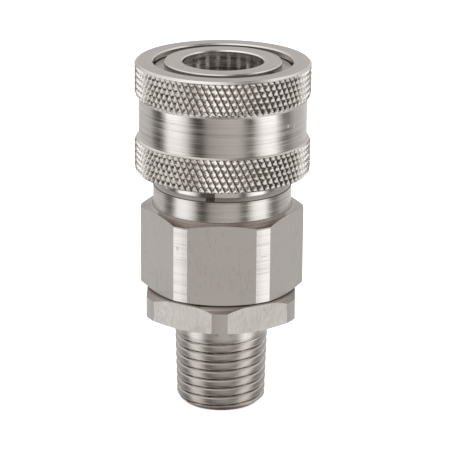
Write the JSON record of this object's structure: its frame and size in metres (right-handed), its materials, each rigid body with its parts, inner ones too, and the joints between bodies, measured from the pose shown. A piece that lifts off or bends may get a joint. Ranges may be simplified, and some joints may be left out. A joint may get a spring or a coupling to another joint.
{
  "type": "hydraulic quick coupler socket",
  "caption": "Stainless steel quick coupler socket with a knurled sliding sleeve, ball lock, poppet valve, two hexes and a male taper pipe thread.",
  "frame": {"origin": "centre of the pipe thread's end face, on the surface that the coupler stands on", "axes": "+Z along the bore axis towards the mouth; -Y faces the viewer of the picture, onto a flat of the large hex"},
  "size_m": [0.0262, 0.0262, 0.053],
  "materials": {
    "body_steel": "fine milled flats and turned bands",
    "adapter_steel": "milled hex flats and cut thread",
    "sleeve_steel": "diamond knurled grip bands and turned waist",
    "ring_steel": "stamped spring steel",
    "ball_steel": "polished",
    "valve_steel": "fine turned",
    "spring_steel": "drawn wire",
    "seal_rubber": "smooth matt",
    "white_ptfe": "smooth waxy"
  },
  "bodies": {
    "socket": {"socket_body": "body_steel", "thread_adapter": "adapter_steel", "sleeve_retaining_ring": "ring_steel", "probe_seal": "seal_rubber", "probe_backup_ring": "white_ptfe", "body_gasket": "white_ptfe", "valve_guide": "valve_steel", "sleeve_spring": "spring_steel", "valve_spring": "spring_steel"},
    "sleeve": {"release_sleeve": "sleeve_steel"},
    "valve": {"valve_poppet": "valve_steel", "poppet_seal": "seal_rubber"},
    "ball_1": {"locking_ball_1": "ball_steel"},
    "ball_2": {"locking_ball_2": "ball_steel"},
    "ball_3": {"locking_ball_3": "ball_steel"},
    "ball_4": {"locking_ball_4": "ball_steel"},
    "ball_5": {"locking_ball_5": "ball_steel"},
    "ball_6": {"locking_ball_6": "ball_steel"},
    "ball_7": {"locking_ball_7": "ball_steel"},
    "ball_8": {"locking_ball_8": "ball_steel"}
  },
  "joints": [
    {"name": "sleeve_slide", "type": "slide", "parent": "socket", "child": "sleeve", "axis": [0, 0, -1], "range_m": [0, 0.003], "stiffness_N_per_m": 2500, "springref_m": -0.004, "deforming": ["sleeve_spring"]},
    {"name": "valve_slide", "type": "slide", "parent": "socket", "child": "valve", "axis": [0, 0, -1], "range_m": [0, 0.003], "stiffness_N_per_m": 800, "springref_m": -0.003, "deforming": ["valve_spring"]},
    {"name": "ball_1_slide", "type": "slide", "parent": "socket", "child": "ball_1", "axis": [0.9239, 0.3827, 0], "range_m": [0, 0.00082]},
    {"name": "ball_2_slide", "type": "slide", "parent": "socket", "child": "ball_2", "axis": [0.3827, 0.9239, 0], "range_m": [0, 0.00082]},
    {"name": "ball_3_slide", "type": "slide", "parent": "socket", "child": "ball_3", "axis": [-0.3827, 0.9239, 0], "range_m": [0, 0.00082]},
    {"name": "ball_4_slide", "type": "slide", "parent": "socket", "child": "ball_4", "axis": [-0.9239, 0.3827, 0], "range_m": [0, 0.00082]},
    {"name": "ball_5_slide", "type": "slide", "parent": "socket", "child": "ball_5", "axis": [-0.9239, -0.3827, 0], "range_m": [0, 0.00082]},
    {"name": "ball_6_slide", "type": "slide", "parent": "socket", "child": "ball_6", "axis": [-0.3827, -0.9239, 0], "range_m": [0, 0.00082]},
    {"name": "ball_7_slide", "type": "slide", "parent": "socket", "child": "ball_7", "axis": [0.3827, -0.9239, 0], "range_m": [0, 0.00082]},
    {"name": "ball_8_slide", "type": "slide", "parent": "socket", "child": "ball_8", "axis": [0.9239, -0.3827, 0], "range_m": [0, 0.00082]}
  ],
  "couplings": [
    {"joint": "ball_1_slide", "follows": "sleeve_slide", "ratio": 0.27333},
    {"joint": "ball_2_slide", "follows": "sleeve_slide", "ratio": 0.27333},
    {"joint": "ball_3_slide", "follows": "sleeve_slide", "ratio": 0.27333},
    {"joint": "ball_4_slide", "follows": "sleeve_slide", "ratio": 0.27333},
    {"joint": "ball_5_slide", "follows": "sleeve_slide", "ratio": 0.27333},
    {"joint": "ball_6_slide", "follows": "sleeve_slide", "ratio": 0.27333},
    {"joint": "ball_7_slide", "follows": "sleeve_slide", "ratio": 0.27333},
    {"joint": "ball_8_slide", "follows": "sleeve_slide", "ratio": 0.27333}
  ]
}
